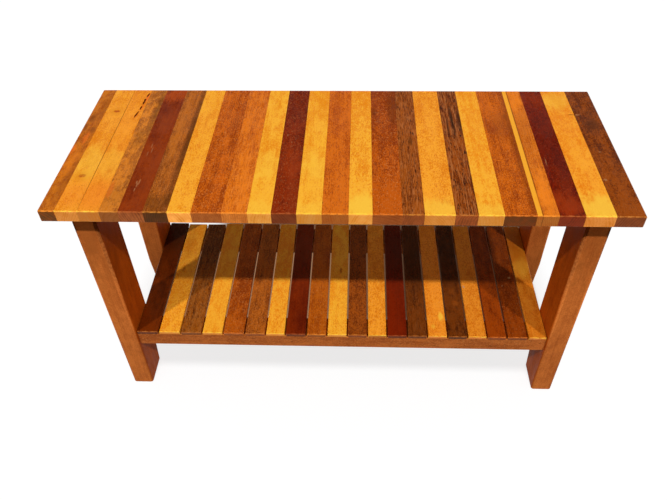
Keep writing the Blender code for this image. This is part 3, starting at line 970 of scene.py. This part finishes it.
@dataclass(frozen=True)
class ScrewSteel:
    """Plain steel of the hidden screws, turned in fine rings and a little dull."""

    bright: Colour = (0.62, 0.62, 0.60)
    dull: Colour = (0.36, 0.35, 0.33)
    turn_mm: float = 0.25
    turn_depth: float = 0.00001
    patina: Grain = ((1.6, 1.6, 1.6), 3.0, 0.6)
    patina_edge: Span = (0.35, 0.65)
    rough: Ramp = (0.3, 0.7, 0.28, 0.48)

    def write(self, name: str, middle: Vector) -> Material:
        """Write the material of one screw.

        Args:
            name: The material's name.
            middle: The screw's axis.

        Returns:
            The material.
        """
        material, sheet, shader = start_material(name)
        local = sheet.from_middle(sheet.node("ShaderNodeTexCoord").outputs["Object"], middle)
        across, along, _ = sheet.split(local)
        radius = sheet.vectors("LENGTH", sheet.join((across, along, 0.0)))
        turns = sheet.maths("SINE", sheet.times(radius, math.tau / self.turn_mm))
        patina = sheet.noise(local, *self.patina)
        sheet.filled(shader, {
            "Base Color": sheet.blend(sheet.ease(patina, *self.patina_edge), self.bright, self.dull),
            "Roughness": sheet.ease(patina, *self.rough),
            "Normal": sheet.bump(turns, self.turn_depth),
            "Metallic": 1.0,
        })
        return material


# Meshes


def new_mesh(name: str, shape: Shape) -> Mesh:
    """Turn a shape into a mesh with outward, smooth faces.

    Args:
        name: The mesh's name.
        shape: The shape, which is freed.

    Returns:
        The mesh.
    """
    bmesh.ops.recalc_face_normals(shape, faces=shape.faces)
    mesh = bpy.data.meshes.new(name)
    shape.to_mesh(mesh)
    shape.free()
    mesh.shade_smooth()
    return mesh


def block(low: Vector, high: Vector) -> Shape:
    """Make a box between two corners.

    Args:
        low: The lowest corner.
        high: The highest corner.

    Returns:
        The shape.
    """
    shape = bmesh.new()
    bmesh.ops.create_cube(shape, size=1.0)
    size, middle = high - low, (high + low) / 2
    for vert in shape.verts:
        vert.co = Vector(middle[axis] + vert.co[axis] * size[axis] for axis in range(3))
    return shape


def ease_edges(shape: Shape, radius: float, steps: int, wanted: EdgeTest) -> None:
    """Round the edges that a test picks.

    Args:
        shape: The shape to change.
        radius: The radius of the rounding.
        steps: How many steps it has.
        wanted: The test, from an edge's middle and direction.
    """
    picked = []
    for edge in shape.edges:
        start, stop = (vert.co for vert in edge.verts)
        if wanted((start + stop) / 2, (stop - start).normalized()):
            picked.append(edge)
    bmesh.ops.bevel(
        shape, geom=picked, offset=radius, offset_type="OFFSET", segments=steps, profile=0.5, affect="EDGES",
        clamp_overlap=True,
    )


def carve(mesh: Mesh, cutters: Iterable[Mesh]) -> Mesh:
    """Take cutting shapes out of a mesh.

    Args:
        mesh: The mesh to cut.
        cutters: The shapes to take out.

    Returns:
        The cut mesh.
    """
    body = bpy.data.objects.new(mesh.name + "_uncut", mesh)
    tools = [bpy.data.objects.new(cutter.name, cutter) for cutter in cutters]
    for thing in [body, *tools]:
        bpy.context.scene.collection.objects.link(thing)
    for tool in tools:
        boolean = body.modifiers.new(tool.name, "BOOLEAN")
        boolean.operation = "DIFFERENCE"
        boolean.solver = "EXACT"
        boolean.object = tool
    depsgraph = bpy.context.evaluated_depsgraph_get()
    carved = bpy.data.meshes.new_from_object(body.evaluated_get(depsgraph))
    carved.name = mesh.name
    for thing in [body, *tools]:
        bpy.data.objects.remove(thing, do_unlink=True)
    carved.materials.clear()
    carved.shade_smooth()
    return carved


def sliver(name: str, path: Line, top: float, depth: float) -> Mesh:
    """Make the cutting shape of a crack or chip from its middle line.

    Args:
        name: The mesh's name.
        path: X, Y and half width along the line.
        top: The height of the face that it opens.
        depth: How deep it goes.

    Returns:
        The cutting shape.
    """
    shape = bmesh.new()
    left = [(x - half, y) for x, y, half in path]
    right = [(x + half, y) for x, y, half in reversed(path)]
    rim = left + right
    over = [shape.verts.new((x, y, top + depth)) for x, y in rim]
    under = [shape.verts.new((x, y, top - depth)) for x, y in rim]
    shape.faces.new(over)
    shape.faces.new(list(reversed(under)))
    for place in range(len(rim)):
        after = (place + 1) % len(rim)
        shape.faces.new((over[place], under[place], under[after], over[after]))
    return new_mesh(name, shape)


def show(name: str, mesh: Mesh, node: str, slot: Timber, material: Material) -> Piece:
    """Put a piece in the scene in place of its CAD node.

    Args:
        name: The piece's name.
        mesh: Its mesh.
        node: The CAD node that it stands for.
        slot: The record's slot that it takes its finish from.
        material: Its material.

    Returns:
        The piece.
    """
    piece = bpy.data.objects.new(name, mesh)
    bpy.context.scene.collection.objects.link(piece)
    mesh.materials.append(material)
    level = piece.modifiers.new("flat_faces", "WEIGHTED_NORMAL")
    level.weight = FLAT_FACE_WEIGHT
    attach(piece, ROOT)
    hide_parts(node)
    LOG.info("%s stands for %s, slot %s", name, node, slot.value)
    return piece


def dress_node(node: str, material: Material) -> None:
    """Give a CAD node that stays in view its own material.

    Args:
        node: The node's name.
        material: The material.
    """
    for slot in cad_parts[node].material_slots:
        slot.material = material
    LOG.info("%s keeps its solid, finish %s", node, material.name)


def node_box(node: str) -> Box:
    """Return a node's lowest and highest corner."""
    low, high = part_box(node)
    return Vector(low), Vector(high)


# The seat


@dataclass
class SeatPanel:
    """The seat: 24 boards from front to back, glued edge to edge."""

    timbers: TimberMaker
    looks: tuple[StripLook, ...] = BOARD_LOOKS
    arris: float = 0.0025
    arris_steps: int = 7
    under_arris: float = 0.0008
    under_steps: int = 3
    joint_close: float = 0.00012
    joint_ease: float = 0.00010
    varnish: Varnish = Varnish()
    crack_board: int = 3
    crack_depth: float = 0.0014
    crack_runs: tuple[Line, ...] = (
        ((-0.3490, 0.1580, 0.0005), (-0.3497, 0.1530, 0.0018), (-0.3504, 0.1480, 0.0015),
         (-0.3510, 0.1430, 0.0005)),
        ((-0.3514, 0.1400, 0.0005), (-0.3519, 0.1360, 0.0020), (-0.3515, 0.1310, 0.0015),
         (-0.3519, 0.1260, 0.0020), (-0.3521, 0.1190, 0.0005)),
        ((-0.3526, 0.1160, 0.0006), (-0.3530, 0.1090, 0.0017), (-0.3533, 0.1020, 0.0006)),
        ((-0.3538, 0.0985, 0.0005), (-0.3550, 0.0920, 0.0016), (-0.3562, 0.0850, 0.0018),
         (-0.3568, 0.0775, 0.0005)),
    )
    chip_board: int = 24
    chip_depth: float = 0.0016
    chip_run: Line = (
        (0.3944, 0.0800, 0.0003), (0.3946, 0.0860, 0.0012), (0.3950, 0.0930, 0.0019),
        (0.3947, 0.1000, 0.0014), (0.3944, 0.1070, 0.0003),
    )

    def build(self) -> list[Piece]:
        """Build and dress every board, and return them."""
        return [self._board(number, look) for number, look in enumerate(self.looks, start=1)]

    def _board(self, number: int, look: StripLook) -> Piece:
        """Build and dress one board.

        Args:
            number: Its place from the left.
            look: Its look.

        Returns:
            The board.
        """
        node = f"seat_board_{number:02d}"
        box = node_box(node)
        mesh = self._shape(f"varnished_{node}", box, number)
        if number == self.crack_board:
            top, depth = box[1].z, self.crack_depth
            runs = enumerate(self.crack_runs)
            mesh = carve(mesh, [sliver(f"crack_{place}", run, top, depth) for place, run in runs])
        if number == self.chip_board:
            mesh = carve(mesh, [sliver("chip", self.chip_run, box[1].z, self.chip_depth)])
        material = self.timbers.write(node, look, box, GrainRun.ALONG_Y, self.varnish, number)
        return show(f"varnished_{node}", mesh, node, look.timber, material)

    def _shape(self, name: str, box: Box, number: int) -> Mesh:
        """Shape one board: rounded ends, rounded free side, and sides that meet the next boards.

        Args:
            name: The mesh's name.
            box: The node's corners.
            number: The board's place from the left.

        Returns:
            The board's mesh.
        """
        low, high = box[0].copy(), box[1].copy()
        outward = {1: -1, len(self.looks): 1}.get(number, 0)
        if outward >= 0:
            low.x -= self.joint_close
        if outward <= 0:
            high.x += self.joint_close
        sides = ((-1, low.x), (1, high.x))
        joints = [place for side, place in sides if side != outward]
        free = [place for side, place in sides if side == outward]
        shape = block(low, high)

        def at(middle: Vector, places: Iterable[float]) -> bool:
            """Tell whether an edge lies in the plane of a side."""
            return any(abs(middle.x - place) < NEAR for place in places)

        def rounded(middle: Vector, direction: Vector) -> bool:
            """Pick the upper edges of the ends and of the free side, and the free side's upright edges."""
            return middle.z > low.z + NEAR and (abs(direction.x) > 0.9 or at(middle, free))

        def underneath(middle: Vector, direction: Vector) -> bool:
            """Pick the lower edges of the ends and of the free side."""
            return middle.z < low.z + NEAR and not at(middle, joints)

        def at_joint(middle: Vector, direction: Vector) -> bool:
            """Pick the outline of the sides that meet another board."""
            return at(middle, joints) and abs(direction.x) < 0.5

        ease_edges(shape, self.arris, self.arris_steps, rounded)
        ease_edges(shape, self.under_arris, self.under_steps, underneath)
        ease_edges(shape, self.joint_ease, 1, at_joint)
        return new_mesh(name, shape)


# The shelf


@dataclass
class Shelf:
    """The shelf: 20 slats from front to back, with open gaps between them."""

    timbers: TimberMaker
    looks: tuple[StripLook, ...] = SLAT_LOOKS
    arris: float = 0.0014
    arris_steps: int = 5
    under_ease: float = 0.0002
    # Painted shade along the bottom of each slat's end face, under its overhang.
    varnish: Varnish = Varnish(gloss=0.28, rub=0.9, dark_below_mm=-0.2)
    first_seed: int = 30

    def build(self) -> list[Piece]:
        """Build and dress every slat, and return them."""
        return [self._slat(number, look) for number, look in enumerate(self.looks, start=1)]

    def _slat(self, number: int, look: StripLook) -> Piece:
        """Build and dress one slat.

        Args:
            number: Its place from the left.
            look: Its look.

        Returns:
            The slat.
        """
        node = f"shelf_slat_{number:02d}"
        box = node_box(node)
        shape = block(*box)
        underside = box[0].z + NEAR
        ease_edges(shape, self.arris, self.arris_steps, lambda middle, direction: middle.z > underside)
        ease_edges(shape, self.under_ease, 1, lambda middle, direction: middle.z < underside)
        mesh = new_mesh(f"varnished_{node}", shape)
        seed = self.first_seed + number
        material = self.timbers.write(node, look, box, GrainRun.ALONG_Y, self.varnish, seed)
        return show(f"varnished_{node}", mesh, node, look.timber, material)


# The stand


@dataclass
class Stand:
    """The stand: four tapered legs, the rails between them and the screws that hold the seat."""

    timbers: TimberMaker
    steel: ScrewSteel = ScrewSteel()
    foot_depth: float = 0.060
    taper_rail: str = "shelf_rail_front"
    arris: float = 0.0045
    arris_steps: int = 9
    foot_arris: float = 0.0012
    foot_steps: int = 3
    fit: float = 0.0003
    socket_spare: float = 0.0010
    varnish: Varnish = Varnish(gloss=0.44, shine=0.04, rub=0.2, pore_depth=0.00008)
    # Painted shade: the legs' side faces are drawn deeper and redder.
    leg_varnish: Varnish = Varnish(gloss=0.44, shine=0.03, rub=0.2, side_depth=0.9, pore_depth=0.00008)
    rail_look: StripLook = StripLook(Timber.CHESTNUT, Cut.BRUSHED, 0.80, 0.04, 0.0)
    # Painted shade: the dark patch at the top of each leg stands for the shade under the seat's overhang.
    leg_look: StripLook = StripLook(
        Timber.CHESTNUT, Cut.SMOOTH, 0.92, 0.0, 0.0, marks=(smoke(0, 232, 60, 130, 0.62),))
    leg_seed: int = 60
    long_rail_seed: int = 70
    end_rail_seed: int = 80
    rows: tuple[tuple[str, int], ...] = (("front", -1), ("back", 1))
    ends: tuple[tuple[str, int], ...] = (("left", -1), ("right", 1))
    long_rails: tuple[tuple[str, float], ...] = (("shelf_rail", 0.006), ("seat_rail", 0.006))
    end_rail_shoulder: float = 0.005
    screws: int = 3

    def build(self) -> list[Piece]:
        """Build and dress the legs, and dress the rails and screws.

        Returns:
            The legs.
        """
        legs = []
        for row, side_y in self.rows:
            for end, side_x in self.ends:
                legs.append(self._leg(row, end, side_x, side_y, len(legs)))
        for place, (row, _) in enumerate(self.rows):
            for kind, (rail, _) in enumerate(self.long_rails):
                self._rail(f"{rail}_{row}", GrainRun.ALONG_X, self.long_rail_seed + 2 * place + kind)
            for number in range(1, self.screws + 1):
                self._screw(f"seat_screw_{row}_{number}")
        for place, (end, _) in enumerate(self.ends):
            self._rail(f"end_rail_{end}", GrainRun.ALONG_Y, self.end_rail_seed + place)
        return legs

    def _rail(self, node: str, run: GrainRun, seed: int) -> None:
        """Dress one rail, with the seed that sets its figure."""
        dress_node(node, self.timbers.write(node, self.rail_look, node_box(node), run, self.varnish, seed))

    def _screw(self, node: str) -> None:
        """Dress one screw, given its node."""
        low, high = node_box(node)
        dress_node(node, self.steel.write(f"screw_steel_{node}", (low + high) / 2))

    def _leg(self, row: str, end: str, side_x: int, side_y: int, place: int) -> Piece:
        """Build and dress one leg.

        Args:
            row: The front or the back row.
            end: The left or the right end.
            side_x: The sign of its X.
            side_y: The sign of its Y.
            place: Its place in the order of making.

        Returns:
            The leg.
        """
        node = f"leg_{row}_{end}"
        box = node_box(node)
        mesh = self._leg_shape(f"rounded_{node}", box, side_y)
        mesh = carve(mesh, self._sockets(box, row, end, side_x, side_y))
        seed = self.leg_seed + place
        material = self.timbers.write(node, self.leg_look, box, GrainRun.ALONG_Z, self.leg_varnish, seed)
        return show(f"rounded_{node}", mesh, node, Timber.CHESTNUT, material)

    def _leg_shape(self, name: str, box: Box, side_y: int) -> Mesh:
        """Loft a leg through rounded sections from the foot to the seat.

        Args:
            name: The mesh's name.
            box: The node's corners.
            side_y: The sign of the leg's Y.

        Returns:
            The leg's mesh.
        """
        low, high = box
        taper_top = node_box(self.taper_rail)[0].z
        depth = high.y - low.y
        outer_y = high.y if side_y > 0 else low.y
        turns = [step / self.foot_steps * math.pi / 2 for step in range(self.foot_steps + 1)]
        arris = self.foot_arris
        stations = [(arris * (1 - math.cos(turn)), arris * (1 - math.sin(turn))) for turn in turns]
        stations += [(taper_top, 0.0), (high.z, 0.0)]
        shape = bmesh.new()
        rings = []
        for z, inset in stations:
            share = min(z / taper_top, 1.0)
            reach = self.foot_depth + (depth - self.foot_depth) * share
            inner_y = outer_y - side_y * reach
            near = (low.x + inset, min(outer_y, inner_y) + inset)
            far = (high.x - inset, max(outer_y, inner_y) - inset)
            outline = self._section(near, far, self.arris - inset)
            rings.append([shape.verts.new((x, y, z)) for x, y in outline])
        for under, over in zip(rings, rings[1:]):
            for first in range(len(under)):
                after = (first + 1) % len(under)
                shape.faces.new((under[first], under[after], over[after], over[first]))
        shape.faces.new(list(reversed(rings[0])))
        shape.faces.new(rings[-1])
        return new_mesh(name, shape)

    def _section(self, low: Span, high: Span, radius: float) -> list[Span]:
        """Return a rounded rectangle's outline.

        Args:
            low: Its lowest X and Y.
            high: Its highest X and Y.
            radius: The radius of its corners.

        Returns:
            The outline's points, counterclockwise.
        """
        centres = (
            (high[0] - radius, high[1] - radius), (low[0] + radius, high[1] - radius),
            (low[0] + radius, low[1] + radius), (high[0] - radius, low[1] + radius),
        )
        points = []
        for corner, (x, y) in enumerate(centres):
            for step in range(self.arris_steps + 1):
                turn = (corner + step / self.arris_steps) * math.pi / 2
                points.append((x + radius * math.cos(turn), y + radius * math.sin(turn)))
        return points

    def _sockets(self, box: Box, row: str, end: str, side_x: int, side_y: int) -> list[Mesh]:
        """Make the cutting shapes of a leg's three mortises from the rails' tenons.

        Args:
            box: The leg's corners.
            row: The front or the back row.
            end: The left or the right end.
            side_x: The sign of the leg's X.
            side_y: The sign of its Y.

        Returns:
            The cutting shapes.
        """
        rails = [(rail, f"{rail}_{row}", 0, side_x, shoulder) for rail, shoulder in self.long_rails]
        rails.append(("end_rail", f"end_rail_{end}", 1, side_y, self.end_rail_shoulder))
        return [self._socket(f"{rail}_mortise", node, box, *rest) for rail, node, *rest in rails]

    def _socket(self, name: str, node: str, box: Box, axis: int, side: int, shoulder: float) -> Mesh:
        """Make the cutting shape of one mortise.

        Args:
            name: The cutting shape's name.
            node: The rail's node.
            box: The leg's corners.
            axis: The axis that the rail runs along.
            side: The sign of the leg's place on that axis.
            shoulder: How far the tenon stands in from the rail's faces.

        Returns:
            The cutting shape.
        """
        low, high = node_box(node)
        inset = Vector(0.0 if place == axis else shoulder for place in range(3))
        spare = Vector((self.fit, self.fit, self.fit))
        low, high = low + inset - spare, high - inset + spare
        if side > 0:
            low[axis], high[axis] = box[0][axis] - self.socket_spare, high[axis] + self.socket_spare
        else:
            low[axis], high[axis] = low[axis] - self.socket_spare, box[1][axis] + self.socket_spare
        return new_mesh(name, block(low, high))


# The studio


@dataclass(frozen=True)
class KeyLamp:
    """A distant lamp: the way its light travels, its strength and its width in degrees."""

    name: str
    travel: Triple
    strength: float
    width: float = 2.0


@dataclass
class Studio:
    """The pale floor, the lamps, the surroundings and the camera."""

    floor_size: float = 14.0
    floor_sides: int = 96
    floor_glow: float = 0.77
    floor_white: Colour = (0.35, 0.35, 0.35)
    shade_left: Span = (-0.43, -0.38)
    shade_slant_from: float = 0.21
    shade_slant: float = 0.95
    shade_right: Span = (0.43, 0.40)
    shade_flare: float = 0.28
    shade_front: Span = (-0.045, 0.03)
    shade_back: Span = (0.375, 0.335)
    shade_turn: Span = (-0.16, 0.20)
    shade_deepen: Span = (0.25, 0.33)
    shade_deepest: float = 0.8
    shade_lighter: Colour = (0.44, 0.235, 0.125)
    shade_darker: Colour = (0.090, 0.042, 0.022)
    keys: tuple[KeyLamp, ...] = (
        KeyLamp("left_key", (0.517, 0.55, -1.0), 1.39),
        KeyLamp("right_key", (-0.456, 0.55, -1.0), 1.39),
    )
    wash: KeyLamp = KeyLamp("floor_wash", (0.0, 0.34, -1.0), 1.53, 10.0)
    sky_fill: float = 0.30
    sky_white: float = 1.0
    sky_high: float = 0.05
    sky_fall: Span = (0.20, 0.42)
    focal_px: float = 644.43
    photo_width: float = 667.0
    sensor_mm: float = 36.0
    clip_start: float = 0.01
    camera_place: Triple = (0.0272, -0.8649, 1.0645)
    camera_turns: Triple = (2.7658, 45.8142, -1.249)

    def build(self) -> None:
        """Set up the floor, the light and the camera."""
        scene = bpy.context.scene
        scene.view_settings.view_transform = "Standard"
        floor = self._floor()
        self._lamps(floor)
        self._surroundings(scene)
        self._camera(scene)

    def _floor(self) -> Piece:
        """Lay the floor.

        Returns:
            The floor.
        """
        shape = bmesh.new()
        bmesh.ops.create_circle(shape, cap_ends=True, segments=self.floor_sides, radius=self.floor_size / 2)
        floor = bpy.data.objects.new("studio_floor", new_mesh("studio_floor", shape))
        bpy.context.scene.collection.objects.link(floor)
        material = bpy.data.materials.new("studio_floor_paint")
        material.use_nodes = True
        sheet = NodeSheet(material.node_tree)
        tree = material.node_tree
        tree.nodes.remove(tree.nodes["Principled BSDF"])
        paint = sheet.node("ShaderNodeBsdfDiffuse")
        cast = self._shade(sheet)
        sheet.feed(paint.inputs["Color"], sheet.blend(1.0, self.floor_white, cast, "MULTIPLY"))
        lit = sheet.node("ShaderNodeEmission")
        path = sheet.node("ShaderNodeLightPath").outputs
        seen = sheet.maths("MAXIMUM", path["Is Camera Ray"], path["Is Glossy Ray"])
        seen = sheet.maths("MAXIMUM", seen, path["Is Transmission Ray"])
        sheet.feed(lit.inputs["Color"], cast)
        sheet.feed(lit.inputs["Strength"], sheet.times(seen, self.floor_glow))
        both = sheet.node("ShaderNodeAddShader")
        sheet.feed(both.inputs[0], paint.outputs[0])
        sheet.feed(both.inputs[1], lit.outputs[0])
        sheet.feed(tree.nodes["Material Output"].inputs["Surface"], both.outputs[0])
        floor.data.materials.append(material)
        LOG.info("studio_floor laid, %.1f m across", self.floor_size)
        return floor

    def _shade(self, sheet: NodeSheet) -> Socket:
        """Draw the deep brown shade on the floor below the shelf, which the slats' gaps show.

        Args:
            sheet: The floor's sheet.

        Returns:
            The floor's cast: white in the open and brown in the shade.
        """
        across, along, _ = sheet.split(sheet.node("ShaderNodeTexCoord").outputs["Object"])
        beyond = sheet.maths("MAXIMUM", sheet.minus(along, self.shade_slant_from), 0.0)
        slanted = sheet.times_plus(beyond, -self.shade_slant, across)
        flared = sheet.times_plus(beyond, -self.shade_flare, across)
        shade = sheet.times(sheet.ease(slanted, *self.shade_left), sheet.ease(flared, *self.shade_right))
        shade = sheet.times(shade, sheet.ease(along, *self.shade_front))
        shade = sheet.times(shade, sheet.ease(along, *self.shade_back))
        deepened = sheet.ease(along, *self.shade_deepen, 0.0, self.shade_deepest)
        deeper = sheet.maths("MAXIMUM", sheet.ease(across, *self.shade_turn), deepened)
        brown = sheet.blend(deeper, self.shade_lighter, self.shade_darker)
        return sheet.blend(shade, WHITE, brown)

    def _lamps(self, floor: Piece) -> None:
        """Hang the key lamps, which light the bench alone, and the wash, which lights the floor alone.

        Args:
            floor: The floor.
        """
        for lamp, receives in [(key, "EXCLUDE") for key in self.keys] + [(self.wash, "INCLUDE")]:
            linked = bpy.data.collections.new(f"{lamp.name}_floor")
            linked.objects.link(floor)
            linked.collection_objects[0].light_linking.link_state = receives
            light = bpy.data.lights.new(lamp.name, "SUN")
            light.energy = lamp.strength
            light.angle = math.radians(lamp.width)
            holder = bpy.data.objects.new(lamp.name, light)
            holder.rotation_euler = Vector(lamp.travel).to_track_quat("-Z", "Y").to_euler()
            holder.light_linking.receiver_collection = linked
            bpy.context.scene.collection.objects.link(holder)
            LOG.info("%s hung, strength %.2f", lamp.name, lamp.strength)

    def _surroundings(self, scene: bpy.types.Scene) -> None:
        """Fill the room with soft light, white to the camera and mirrored white only near the horizon.

        Args:
            scene: The scene.
        """
        world = bpy.data.worlds.new("studio_room")
        world.use_nodes = True
        scene.world = world
        sheet = NodeSheet(world.node_tree)
        back = world.node_tree.nodes["Background"]
        up = sheet.split(sheet.node("ShaderNodeTexCoord").outputs["Generated"])[2]
        band = sheet.ease(up, *self.sky_fall, self.sky_white, self.sky_high)
        path = sheet.node("ShaderNodeLightPath").outputs
        mirrored = sheet.maths("MAXIMUM", path["Is Glossy Ray"], path["Is Transmission Ray"])
        level = sheet.ease(mirrored, 0.0, 1.0, self.sky_fill, band)
        level = sheet.ease(path["Is Camera Ray"], 0.0, 1.0, level, self.sky_white)
        sheet.feed(back.inputs["Color"], WHITE)
        sheet.feed(back.inputs["Strength"], level)

    def _camera(self, scene: bpy.types.Scene) -> None:
        """Put the camera where the photograph was taken from.

        Args:
            scene: The scene.
        """
        lens = bpy.data.cameras.new("photo_camera")
        lens.sensor_fit = "HORIZONTAL"
        lens.sensor_width = self.sensor_mm
        lens.lens = self.focal_px * self.sensor_mm / self.photo_width
        lens.clip_start = self.clip_start
        camera = bpy.data.objects.new("photo_camera", lens)
        yaw, pitch, roll = (math.radians(turn) for turn in self.camera_turns)
        turned = Matrix.Rotation(yaw, 4, "Z") @ Matrix.Rotation(pitch, 4, "X") @ Matrix.Rotation(roll, 4, "Z")
        camera.matrix_world = Matrix.Translation(self.camera_place) @ turned
        scene.collection.objects.link(camera)
        scene.camera = camera
        LOG.info("camera placed, lens %.2f mm", lens.lens)


# The whole bench


def main() -> None:
    """Build the bench and its studio, and note the sizes."""
    logging.basicConfig(level=logging.INFO, format="%(name)s: %(message)s")
    timbers = TimberMaker()
    seat = SeatPanel(timbers).build()
    shelf = Shelf(timbers).build()
    legs = Stand(timbers).build()
    Studio().build()
    LOG.info("%d boards, %d slats and %d legs built", len(seat), len(shelf), len(legs))


if __name__ == "__main__":
    main()
